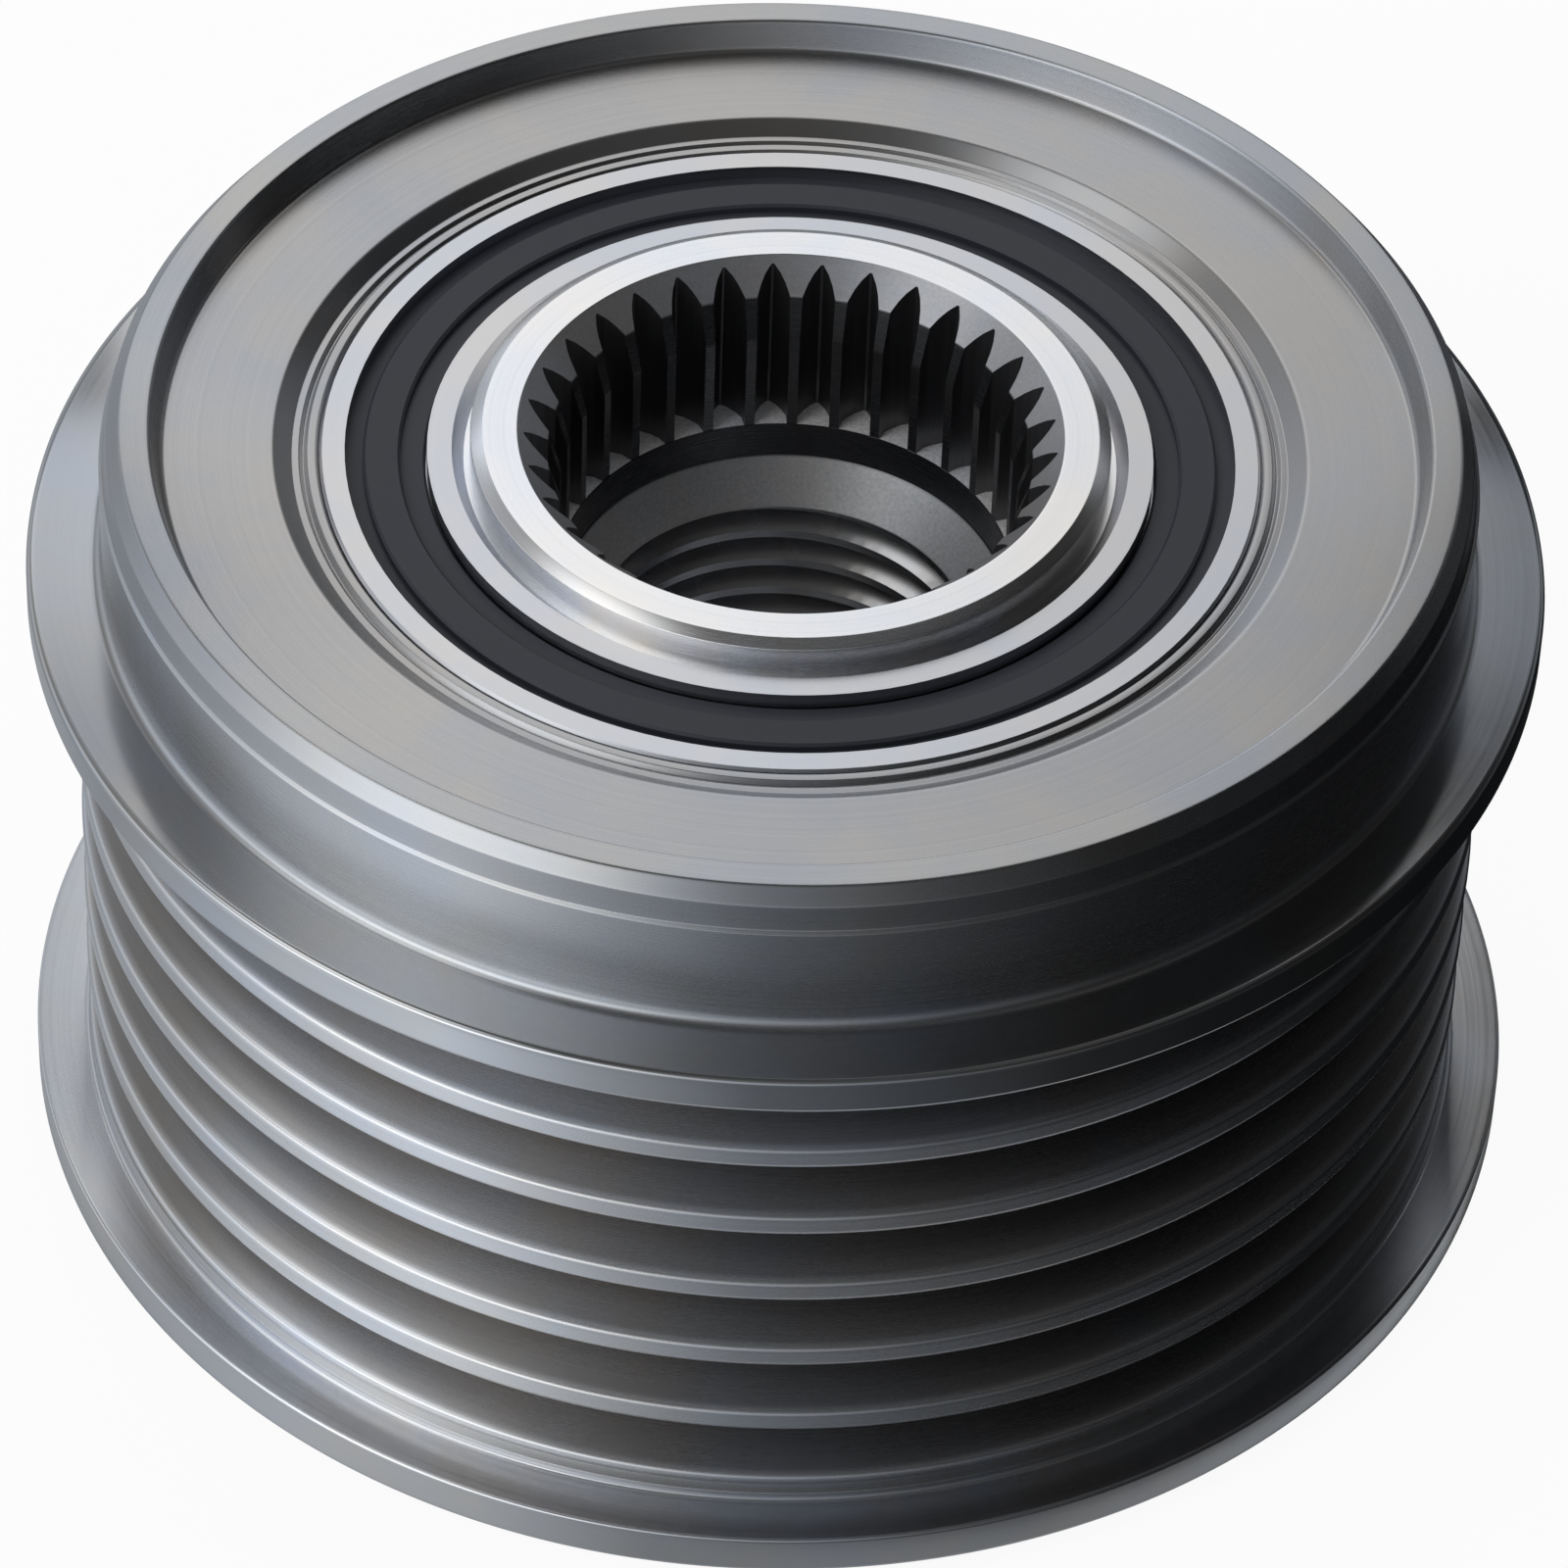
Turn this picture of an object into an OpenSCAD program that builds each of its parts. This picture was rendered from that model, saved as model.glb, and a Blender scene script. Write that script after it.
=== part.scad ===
// Freewheel alternator pulley: a six-groove ribbed ring that runs on a sealed ball bearing and a needle row,
// and drives a threaded hub through a one-way ramp-and-roller clutch.
// The axis is Z. Z = 0 is the hub's rear end face, which is clamped against the rotor shaft's collar.
// Radii build outwards from the hub's bearing seat to the belt track, and inwards to the thread.

/* [Belt track] */
// Spacing of the belt ribs
rib_pitch = 3.56; // [3.5:0.01:3.62]
// Number of grooves
groove_count = 6; // [4:1:7]
// Wall from the bearing seat to the crests between the grooves
track_wall = 9.5; // [9:0.1:11]
// Angle of one groove flank from the radial plane
flank_angle = 20; // [18:0.5:21]
// Width of a crest where its two flanks would meet it
crest_flat = 0.86; // [0.7:0.02:1]
// Rounding of the crest edges
crest_round = 0.2; // [0.1:0.05:0.25]
// Rounding at the bottom of a groove
root_round = 0.35; // [0.25:0.05:0.45]

/* [Flanges] */
// Height of the front flange above the crests
front_flange_h = 1.8; // [1.4:0.05:2.4]
// Width of the front flange's rim
front_flange_w = 1.5; // [1:0.1:2]
// Slope of the front flange's belt side from the radial plane
flare_angle = 34; // [26:1:40]
// Height of the rear flange above the crests
rear_flange_h = 2.1; // [1.6:0.05:2.6]
// Width of the rear flange
rear_flange_w = 1.74; // [1.4:0.02:2.4]
// Width of the land between the last groove and the rear flange
rear_land_w = 1.25; // [1.1:0.05:1.8]
// Depth of the fine relief groove in that land
relief_depth = 0.4; // [0.2:0.05:0.6]
// Width of that relief groove at its mouth
relief_w = 0.5; // [0.3:0.05:0.6]
// Small edge break on turned corners of the ring
edge_break = 0.2; // [0.1:0.05:0.25]

/* [Front collar] */
// Step from the crests down to the collar, on the radius
collar_step = 1.1; // [0.6:0.05:1.6]
// Height of the collar above the front flange
collar_h = 6.36; // [6:0.02:7]
// Height of the slightly tapered band under the face chamfer
band_h = 1.03; // [0.6:0.01:1.4]
// Narrowing of that band, on the radius
band_taper = 0.3; // [0.1:0.05:0.5]
// Radial size of the face chamfer
face_chamfer = 0.5; // [0.3:0.05:0.8]
// Axial size of the face chamfer
face_chamfer_h = 0.64; // [0.4:0.02:0.9]
// Width of the flat top of the raised rim
rim_w = 1.15; // [0.8:0.05:1.6]
// Depth of the recess inside the rim
recess_depth = 1.2; // [0.8:0.05:1.4]
// Taper of the recess wall, on the radius
recess_taper = 0.42; // [0.2:0.02:0.6]
// Width of the narrow ledge beside the bearing
ledge_w = 0.45; // [0.4:0.05:0.8]
// Width of the staking groove outside the ledge
stake_w = 0.33; // [0.2:0.01:0.5]
// Depth of the staking groove
stake_depth = 0.2; // [0.1:0.02:0.3]
// Width of the flat from the staking groove to the slope
dip_flat = 0.2; // [0.1:0.05:0.5]
// Width of the slope up to the recess floor
dip_w = 0.72; // [0.5:0.02:1.2]
// Depth of the dip
dip_depth = 0.35; // [0.2:0.05:0.5]

/* [Front bearing] */
// Diameter of the hub's seat, which is the bearing's bore
hub_seat_d = 25; // [24:0.1:26]
// Radial section of the ball bearing
bearing_section = 5.5; // [5.3:0.05:6]
// Width of the ball bearing
bearing_w = 8; // [7.6:0.1:9]
// Depth of the bearing's face below the ring's face
bearing_sink = 1.5; // [1.3:0.05:1.8]
// Diameter of one ball
ball_d = 3.5; // [3.1:0.05:3.8]
// Number of balls
ball_count = 13; // [9:1:13]
// Radial thickness of the outer ring at the seal
outer_ring_lip = 0.97; // [0.85:0.01:1.1]
// Radial thickness of the outer ring at the shoulder
outer_ring_wall = 1.65; // [1.5:0.05:1.8]
// Radial thickness of the inner ring at the seal
inner_ring_lip = 1.39; // [1.3:0.01:1.45]
// Radial thickness of the inner ring at the shoulder
inner_ring_wall = 1.65; // [1.5:0.05:1.8]
// Chamfer at the bore of the inner ring
inner_ring_chamfer = 0.45; // [0.3:0.05:0.6]
// Depth of the seal seat below the bearing face
seal_seat = 0.96; // [0.9:0.02:1.2]
// Depth of the seal's gutters below the bearing face
gutter_depth = 0.56; // [0.45:0.01:0.65]
// Width of the seal's gutter beside the outer ring
gutter_w = 0.69; // [0.5:0.01:0.9]
// Depth of the seal's raised flat below the bearing face
seal_flat_depth = 0.24; // [0.15:0.01:0.35]
// Width of the seal's raised flat
seal_flat_w = 1.42; // [1.1:0.02:1.7]
// Radial thickness of the ball cage
ball_cage_t = 1; // [0.8:0.1:1.1]
// Width of the cage's edge beyond the balls
ball_cage_edge = 0.45; // [0.4:0.05:0.6]

/* [Hub] */
// Stand-out of the hub's rear end behind the ring
hub_standout = 1; // [0.6:0.1:1.4]
// Step from the needle track down to the hub's rear collar, on the radius
rear_collar_step = 0.1; // [0.05:0.01:0.2]
// Distance from the rear seal to the end of the rear collar
rear_collar_margin = 0.5; // [0.4:0.05:0.8]
// Height of the nose above the bearing face
nose_h = 0.98; // [0.8:0.02:1.2]
// Step from the bearing seat down to the nose, on the radius
nose_step = 0.25; // [0.1:0.05:0.4]
// Radial size of the nose's outer chamfer
nose_chamfer = 0.46; // [0.3:0.02:0.6]
// Width of the nose's flat face
nose_face_w = 1.33; // [1:0.01:1.6]
// Slope of the countersink from the radial plane
countersink_angle = 45; // [40:1:50]
// Outer edge break on the rear collar
hub_edge_break = 0.3; // [0.2:0.05:0.5]

/* [Tool socket] */
// Number of serration teeth
tooth_count = 33; // [30:1:34]
// Wall from the nose face's inner edge to the bottom of the gaps
gap_margin = 0.26; // [0.2:0.01:0.4]
// Height of a serration tooth
tooth_h = 0.9; // [0.75:0.05:1.1]
// Width of a tooth's tip
tooth_tip_w = 0.55; // [0.4:0.05:0.7]
// Width at the bottom of a gap
gap_root_w = 0.2; // [0.14:0.02:0.3]
// Depth of the gaps below the nose face
socket_depth = 7.33; // [6:0.05:8]
// Step from the tooth tips down to the plain bore behind them
relief_step = 0.65; // [0.5:0.05:0.8]
// Length of that plain bore
relief_bore_len = 1.49; // [1:0.05:2]

/* [Shaft bores] */
// Radial size of the lead-in cone between the plain bore and the M16 x 1.5 thread's minor radius
lead_in = 1.46; // [1.2:0.02:1.8]
// Step from the thread's minor radius out to the plain bore that centres the shaft
shaft_bore_step = 1.31; // [1:0.01:1.6]
// Depth of that bore from the rear end
shaft_bore_len = 9; // [7:0.5:10]
// Edge break at the rear mouth of the bore
mouth_break = 0.5; // [0.3:0.05:0.8]

/* [Clutch] */
// Shoulder in the ring behind the bearing, on the radius
bearing_shoulder = 1; // [0.8:0.05:1.2]
// Wall of the hardened clutch cup
cup_wall = 1.2; // [1:0.05:1.4]
// Wall of the clutch's inner ring under the needles
race_wall = 1.2; // [1.1:0.02:1.3]
// Depth of the roller centres below which the lands between ramps end
land_drop = 0.275; // [0.2:0.005:0.35]
// Number of ramps and clutch rollers
clutch_count = 14; // [10:1:14]
// Angle of a ramp from the tangent
ramp_angle = 6; // [5:0.5:7]
// Reach of a ramp on its tight side
ramp_tight = 1.3; // [1.2:0.05:1.4]
// Reach of a ramp on its spring side
ramp_loose = 2.9; // [2.6:0.05:3]
// Width of the clutch cage's end rims
clutch_rim = 0.9; // [0.7:0.05:1.2]
// Distance from a bar of the clutch cage to the next roller
clutch_bar_gap = 0.6; // [0.5:0.05:0.9]
// Thickness of a leaf spring
leaf_t = 0.18; // [0.14:0.01:0.22]
// Distance of a leaf spring from the cage's rims
leaf_inset = 0.6; // [0.3:0.05:1]

/* [Needle row] */
// Number of needles
needle_count = 20; // [14:1:22]
// Length of one needle
needle_len = 5; // [4:0.1:6]
// Depth of the needle cage below the needles, on either side
needle_cage_inset = 0.45; // [0.4:0.05:0.6]
// Width of the needle cage's end rims
needle_rim = 1; // [0.7:0.05:1.2]

/* [Washers and rear seal] */
// Thickness of the rear thrust washer
rear_washer_t = 0.8; // [0.6:0.05:1]
// Thickness of the front thrust washer
front_washer_t = 1; // [0.8:0.05:1.2]
// Thickness of the washer between needle row and clutch
divider_t = 0.6; // [0.5:0.05:0.8]
// Sheet thickness of the rear seal's case
seal_case_t = 0.6; // [0.5:0.05:0.7]
// Axial length of the rear seal's case
seal_case_w = 2.8; // [2.5:0.05:3.2]
// Depth of the rear seal below the ring's rear face
seal_sink = 0.5; // [0.3:0.05:0.7]
// Radial width of the rubber between case and hub
lip_w = 1.35; // [1.2:0.05:1.6]
// Thickness of the rubber on the case and in the lip
lip_t = 0.4; // [0.3:0.05:0.5]

/* [Clearances] */
// Radial clearance of rolling pieces
roll_gap = 0.05; // [0.04:0.005:0.06]
// Clearance under a ramp roller
ramp_gap = 0.03; // [0.02:0.005:0.04]
// Radial clearance of a seal lip
lip_gap = 0.06; // [0.04:0.01:0.08]
// Axial play of a cage or roller
end_play = 0.15; // [0.1:0.01:0.18]
// Radial clearance of washers and cage in the cup
washer_gap = 0.2; // [0.15:0.01:0.3]

/* [Hidden] */
$fn = 120;
steel = [0.62, 0.63, 0.65];
bright_steel = [0.82, 0.83, 0.85];
rubber = [0.12, 0.12, 0.14];
nylon = [0.75, 0.72, 0.62];

// Radii from the hub's seat outwards
hub_r = hub_seat_d / 2;
bearing_r = hub_r + bearing_section;
crest_r = bearing_r + track_wall;
front_flange_r = crest_r + front_flange_h;
rear_flange_r = crest_r + rear_flange_h;
collar_r = crest_r - collar_step;
bore_r = bearing_r - bearing_shoulder;
cup_r = bore_r - cup_wall;
race_r = hub_r + race_wall;
rear_collar_r = race_r - rear_collar_step;

// Radii from the hub's seat inwards
nose_r = hub_r - nose_step;
nose_face_r = nose_r - nose_chamfer - nose_face_w;
gap_root_r = nose_face_r - gap_margin;
tooth_tip_r = gap_root_r - tooth_h;
relief_bore_r = tooth_tip_r - relief_step;
thread_minor_r = relief_bore_r - lead_in;
shaft_bore_r = thread_minor_r + shaft_bore_step;

// Heights of the ring
mouth = (rib_pitch - crest_flat) / 2;
rear_flange_z = hub_standout + rear_flange_w;
first_groove_z = rear_flange_z + rear_land_w + mouth;
flare_z = first_groove_z + (groove_count - 1) * rib_pitch + mouth;
front_rim_z = flare_z + front_flange_h * tan(flare_angle);
front_flange_z = front_rim_z + front_flange_w;
face_z = front_flange_z + collar_h;

// Heights of the bearing, the clutch and the needle row
bearing_z2 = face_z - bearing_sink;
bearing_z1 = bearing_z2 - bearing_w;
bearing_mid = (bearing_z1 + bearing_z2) / 2;
nose_z = bearing_z2 + nose_h;
seal_z = hub_standout + seal_sink;
cup_z1 = seal_z + seal_case_w;
cup_z2 = bearing_z1 - end_play;
rear_collar_z = cup_z1 + rear_collar_margin;
race_z1 = rear_collar_z + rear_washer_t;
race_z2 = bearing_z1 - front_washer_t;
needle_cage_z = race_z1 + end_play;
needle_cage_h = needle_len + 2 * (needle_rim + roll_gap);
divider_z = needle_cage_z + needle_cage_h + end_play;
clutch_z = divider_z + divider_t;
clutch_h = race_z2 - clutch_z;

// Bearing: ball circle and the two rings' inner faces
ball_pitch_r = hub_r + bearing_section / 2;
outer_lip_r = bearing_r - outer_ring_lip;
inner_lip_r = hub_r + inner_ring_lip;

// Needles and clutch rollers are of one stock, which fills the space between the tracks
needle_d = cup_r - race_r - 2 * roll_gap;
needle_pitch_r = (race_r + cup_r) / 2;
roller_pitch_r = cup_r - roll_gap / 2 - needle_d / 2;
ramp_r = roller_pitch_r - needle_d / 2 - ramp_gap;
land_r = roller_pitch_r - land_drop;
clutch_bar = 2 * roller_pitch_r * sin(180 / clutch_count) - ramp_loose - needle_d / 2 - roll_gap - clutch_bar_gap;
washer_r = cup_r - washer_gap;
lip_r = rear_collar_r + lip_gap;

// Points of an arc about c, from angle a to angle b
function arc(c, r, a, b, n = 6) = [for (i = [0:n]) c + r * [cos(a + (b - a) * i / n), sin(a + (b - a) * i / n)]];

// Points mirrored in the plane z = 0, in reverse order, so that an outline closes on itself
function mirrored(p) = [for (i = [len(p) - 1:-1:0]) [p[i][0], -p[i][1]]];

// A ring of rectangular section
module ring(r1, r2, z, h) {
    rotate_extrude() translate([r1, z]) square([r2 - r1, h]);
}

// Copies of a child turned about the axis
module around(n) {
    for (i = [0:n - 1]) rotate([0, 0, i * 360 / n]) children();
}

// Section of one groove with round crest edges and a round bottom, open on the outside
module groove_section() {
    crest_centre = [crest_r - crest_round, mouth + crest_round * tan((90 - flank_angle) / 2)];
    root_centre = [crest_r - (mouth * cos(flank_angle) - root_round) / sin(flank_angle), 0];
    half = concat([[front_flange_r, crest_centre[1]], [crest_r, crest_centre[1]]],
        arc(crest_centre, crest_round, 0, flank_angle - 90),
        arc(root_centre, root_round, 90 + flank_angle, 180));
    polygon(concat(half, mirrored(half)));
}

// Section of the relief groove in the rear land
module relief_section() {
    half_w = relief_w / 2;
    translate([crest_r, rear_flange_z + rear_land_w / 2])
        polygon([[-relief_depth, 0], [0, -half_w], [half_w, -half_w], [half_w, half_w], [0, half_w]]);
}

// Outline of the ring before its grooves are cut
module ring_section() {
    band_r = collar_r - band_taper;
    band_z = face_z - face_chamfer_h;
    rim_r = band_r - face_chamfer - rim_w;
    floor_z = face_z - recess_depth;
    floor_r = rim_r - recess_taper;
    ledge_z = floor_z - dip_depth;
    ledge_r = bearing_r + ledge_w;
    flat_r = ledge_r + stake_w;
    slope_r = flat_r + dip_flat;
    rim_turn = 90 - flare_angle;
    polygon(concat(
        [[bore_r, hub_standout + 2 * edge_break],
        [bore_r + 2 * edge_break, hub_standout],
        [rear_flange_r - edge_break, hub_standout],
        [rear_flange_r, hub_standout + edge_break],
        [rear_flange_r, rear_flange_z - edge_break / 2],
        [rear_flange_r - edge_break / 2, rear_flange_z]],
        arc([crest_r + edge_break, rear_flange_z + edge_break], edge_break, 270, 180),
        [[crest_r, flare_z]],
        arc([front_flange_r - edge_break, front_rim_z + edge_break * tan(rim_turn / 2)],
            edge_break, -rim_turn, 0, 3),
        arc([front_flange_r - edge_break, front_flange_z - edge_break], edge_break, 0, 90, 4),
        arc([collar_r + edge_break, front_flange_z + edge_break], edge_break, 270, 180, 5),
        [[collar_r, band_z - band_h],
        [band_r, band_z],
        [band_r - face_chamfer, face_z],
        [rim_r, face_z]],
        arc([floor_r - edge_break, floor_z + edge_break], edge_break, 0, -90, 5),
        [[slope_r + dip_w, floor_z],
        [slope_r, ledge_z],
        [flat_r, ledge_z],
        [flat_r - stake_w / 2, ledge_z - stake_depth],
        [ledge_r, ledge_z],
        [bearing_r + edge_break, ledge_z],
        [bearing_r, ledge_z - edge_break],
        [bearing_r, bearing_z1],
        [bore_r, bearing_z1]]));
}

// Belt ring, turned from one piece: flanges, grooves, collar, bearing seat and clutch bore
module pulley_ring() {
    color(steel) rotate_extrude() difference() {
        ring_section();
        for (i = [0:groove_count - 1])
            translate([0, first_groove_z + i * rib_pitch]) groove_section();
        relief_section();
    }
}

// One gap of the serration, cut from the socket wall
module tooth_gap() {
    tip_half = (2 * PI * tooth_tip_r / tooth_count - tooth_tip_w) / 2;
    slope = (tip_half - gap_root_w / 2) / tooth_h;
    start_r = tooth_tip_r - relief_step / 2;
    start_half = tip_half + (tooth_tip_r - start_r) * slope;
    polygon([[start_r, -start_half], [gap_root_r, -gap_root_w / 2],
        [gap_root_r, gap_root_w / 2], [start_r, start_half]]);
}

// Hub: rear collar, bearing and clutch seat, nose, serrated tool socket, thread and shaft bore
module hub() {
    socket_z = nose_z - socket_depth;
    cone_z = socket_z - relief_bore_len;
    mouth_z = nose_z - (nose_face_r - tooth_tip_r) * tan(countersink_angle);
    neck_z = bearing_z2 - inner_ring_chamfer;
    color(bright_steel) difference() {
        rotate_extrude() polygon([
            [shaft_bore_r + mouth_break, 0],
            [rear_collar_r - hub_edge_break, 0],
            [rear_collar_r, hub_edge_break],
            [rear_collar_r, rear_collar_z],
            [hub_r, rear_collar_z],
            [hub_r, neck_z],
            [nose_r, neck_z],
            [nose_r, nose_z - nose_chamfer / 2],
            [nose_r - nose_chamfer, nose_z],
            [nose_face_r, nose_z],
            [tooth_tip_r, mouth_z],
            [tooth_tip_r, socket_z],
            [relief_bore_r, socket_z],
            [relief_bore_r, cone_z],
            [thread_minor_r, cone_z - lead_in],
            [thread_minor_r, shaft_bore_len + shaft_bore_step],
            [shaft_bore_r, shaft_bore_len],
            [shaft_bore_r, mouth_break]]);
        translate([0, 0, socket_z]) linear_extrude(height = socket_depth + nose_h)
            for (i = [0:tooth_count - 1])
                rotate(90 + (i + 0.5) * 360 / tooth_count) tooth_gap();
    }
}

// Section of the ball track, cut from both bearing rings
module ball_track() {
    translate([ball_pitch_r, bearing_mid]) circle(r = ball_d / 2 + roll_gap, $fn = 72);
}

// Outer ring of the front bearing, stepped for its two seals
module front_bearing_outer_ring() {
    shoulder_r = bearing_r - outer_ring_wall;
    corner = edge_break / 2;
    color(bright_steel) rotate_extrude() difference() {
        polygon([
            [outer_lip_r, bearing_z1],
            [bearing_r - corner, bearing_z1],
            [bearing_r, bearing_z1 + corner],
            [bearing_r, bearing_z2 - corner],
            [bearing_r - corner, bearing_z2],
            [outer_lip_r, bearing_z2],
            [outer_lip_r, bearing_z2 - seal_seat],
            [shoulder_r, bearing_z2 - seal_seat],
            [shoulder_r, bearing_z1 + seal_seat],
            [outer_lip_r, bearing_z1 + seal_seat]]);
        ball_track();
    }
}

// Inner ring of the front bearing, pressed on the hub
module front_bearing_inner_ring() {
    shoulder_r = hub_r + inner_ring_wall;
    step = seal_seat + 2 * roll_gap;
    color(bright_steel) rotate_extrude() difference() {
        polygon([
            [hub_r + inner_ring_chamfer, bearing_z1],
            [inner_lip_r, bearing_z1],
            [inner_lip_r, bearing_z1 + step],
            [shoulder_r, bearing_z1 + step],
            [shoulder_r, bearing_z2 - step],
            [inner_lip_r, bearing_z2 - step],
            [inner_lip_r, bearing_z2],
            [hub_r + inner_ring_chamfer, bearing_z2],
            [hub_r, bearing_z2 - inner_ring_chamfer],
            [hub_r, bearing_z1 + inner_ring_chamfer]]);
        ball_track();
    }
}

// Ring of balls
module front_bearing_balls() {
    color(bright_steel) around(ball_count) translate([ball_pitch_r, 0, bearing_mid]) sphere(d = ball_d);
}

// Ball cage with one round pocket for each ball
module front_bearing_cage() {
    cage_w = ball_d + 2 * ball_cage_edge;
    color(nylon) difference() {
        ring(ball_pitch_r - ball_cage_t / 2, ball_pitch_r + ball_cage_t / 2, bearing_mid - cage_w / 2, cage_w);
        around(ball_count) translate([ball_pitch_r, 0, bearing_mid]) sphere(r = ball_d / 2 + roll_gap);
    }
}

// Section of a bearing seal, drawn for a bearing face at height zero with the inside below
module seal_section() {
    lip = inner_lip_r + lip_gap;
    flat_r2 = outer_lip_r - gutter_w;
    flat_r1 = flat_r2 - seal_flat_w;
    bevel = edge_break / 2;
    polygon([
        [lip, -seal_seat],
        [outer_lip_r, -seal_seat],
        [outer_lip_r, -gutter_depth],
        [flat_r2, -gutter_depth],
        [flat_r2, -seal_flat_depth - bevel],
        [flat_r2 - bevel, -seal_flat_depth],
        [flat_r1 + bevel, -seal_flat_depth],
        [flat_r1, -seal_flat_depth - bevel],
        [flat_r1, -gutter_depth],
        [lip + bevel, -gutter_depth],
        [lip, -gutter_depth - bevel]]);
}

// Front seal of the bearing, the one that shows
module front_bearing_front_seal() {
    color(rubber) rotate_extrude() translate([0, bearing_z2]) seal_section();
}

// Rear seal of the bearing
module front_bearing_rear_seal() {
    color(rubber) rotate_extrude() translate([0, bearing_z1]) mirror([0, 1]) seal_section();
}

// Hardened cup pressed in the ring: the outer track of rollers and needles
module clutch_cup() {
    color(steel) ring(cup_r, bore_r, cup_z1, cup_z2 - cup_z1);
}

// One ramp pocket of the clutch, seen along the axis, for a roller on the X axis
module ramp_pocket() {
    polygon([[ramp_r + ramp_tight * tan(ramp_angle), -ramp_tight],
        [ramp_r - ramp_loose * tan(ramp_angle), ramp_loose],
        [cup_r, ramp_loose],
        [cup_r, -ramp_tight]]);
}

// Clutch inner ring on the hub: a plain needle track behind, a crown of ramps in front
module clutch_inner_ring() {
    color(steel) {
        ring(hub_r, race_r, race_z1, clutch_z - race_z1);
        translate([0, 0, clutch_z]) linear_extrude(height = clutch_h) difference() {
            circle(r = land_r);
            circle(r = hub_r);
            for (i = [0:clutch_count - 1]) rotate(i * 360 / clutch_count) ramp_pocket();
        }
    }
}

// Clutch rollers, one on each ramp
module clutch_rollers() {
    start = clutch_rim + roll_gap;
    color(bright_steel) around(clutch_count) translate([roller_pitch_r, 0, clutch_z + start])
        cylinder(h = clutch_h - 2 * start, d = needle_d);
}

// Moulded clutch cage: two rims joined by a bar beside each spring
module clutch_cage() {
    bar_turn = asin((ramp_loose + roll_gap + clutch_bar / 2) / roller_pitch_r);
    color(nylon) difference() {
        ring(land_r + roll_gap, washer_r, clutch_z, clutch_h);
        translate([0, 0, clutch_z + clutch_rim]) linear_extrude(height = clutch_h - 2 * clutch_rim)
            difference() {
                circle(r = cup_r);
                for (i = [0:clutch_count - 1]) rotate(i * 360 / clutch_count + bar_turn)
                    translate([hub_r, -clutch_bar / 2]) square([cup_r - hub_r, clutch_bar]);
            }
    }
}

// Flat strip between two points of the plane
module strip(a, b) {
    d = b - a;
    translate(a) rotate(atan2(d[1], d[0])) translate([0, -leaf_t / 2]) square([norm(d), leaf_t]);
}

// Folded leaf springs, each between a bar of the cage and its roller
module clutch_springs() {
    r1 = ramp_r + needle_d / 5;
    r2 = cup_r - needle_d / 4;
    near = needle_d / 2 + roll_gap + leaf_t / 2;
    far = ramp_loose - roll_gap - leaf_t / 2;
    inset = clutch_rim + leaf_inset;
    color(bright_steel) translate([0, 0, clutch_z + inset]) linear_extrude(height = clutch_h - 2 * inset)
        for (i = [0:clutch_count - 1]) rotate(i * 360 / clutch_count) {
            strip([r1, near], [r2, near]);
            strip([r2 - leaf_t / 2, near], [r1 + leaf_t / 2, far]);
            strip([r1, far], [r2, far]);
        }
}

// Washer between the needle row and the clutch
module divider_washer() {
    color(steel) ring(race_r, washer_r, divider_z, divider_t);
}

// Needles of the rear row
module needle_rollers() {
    color(bright_steel) around(needle_count)
        translate([needle_pitch_r, 0, needle_cage_z + needle_rim + roll_gap])
            cylinder(h = needle_len, d = needle_d);
}

// Needle cage with one slot for each needle
module needle_cage() {
    slot_w = needle_d + 2 * roll_gap;
    cage_r1 = race_r + roll_gap + needle_cage_inset;
    cage_r2 = cup_r - roll_gap - needle_cage_inset;
    color(nylon) difference() {
        ring(cage_r1, cage_r2, needle_cage_z, needle_cage_h);
        around(needle_count) translate([hub_r, -slot_w / 2, needle_cage_z + needle_rim])
            cube([bore_r - hub_r, slot_w, needle_len + 2 * roll_gap]);
    }
}

// Washer between the clutch and the front bearing
module front_thrust_washer() {
    color(steel) ring(hub_r, washer_r, race_z2, front_washer_t);
}

// Washer between the hub's collar and the clutch
module rear_thrust_washer() {
    color(steel) ring(hub_r, washer_r, rear_collar_z, rear_washer_t);
}

// Sheet steel case of the rear seal, pressed in the ring's bore
module rear_seal_case() {
    in_r = lip_r + lip_w;
    corner = seal_case_t / 4;
    color(steel) rotate_extrude() polygon([
        [in_r, seal_z],
        [bore_r - corner, seal_z],
        [bore_r, seal_z + corner],
        [bore_r, cup_z1],
        [bore_r - seal_case_t, cup_z1],
        [bore_r - seal_case_t, seal_z + seal_case_t],
        [in_r, seal_z + seal_case_t]]);
}

// Rubber lip of the rear seal, bonded to the case and running on the hub's collar
module rear_seal_lip() {
    in_r = lip_r + lip_w;
    pad_r = bore_r - seal_case_t;
    pad_z = seal_z + seal_case_t;
    top_z = cup_z1 - lip_t;
    neck_r = lip_r + lip_t;
    color(rubber) rotate_extrude() polygon([
        [lip_r + lip_t / 2, seal_z],
        [in_r, seal_z],
        [in_r, pad_z],
        [pad_r, pad_z],
        [pad_r, pad_z + lip_t],
        [neck_r + lip_t, pad_z + lip_t],
        [neck_r + lip_t, top_z],
        [lip_r + lip_t / 2, top_z],
        [lip_r, top_z - lip_t],
        [neck_r, pad_z + lip_t / 2],
        [lip_r, seal_z + lip_t]]);
}

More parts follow.
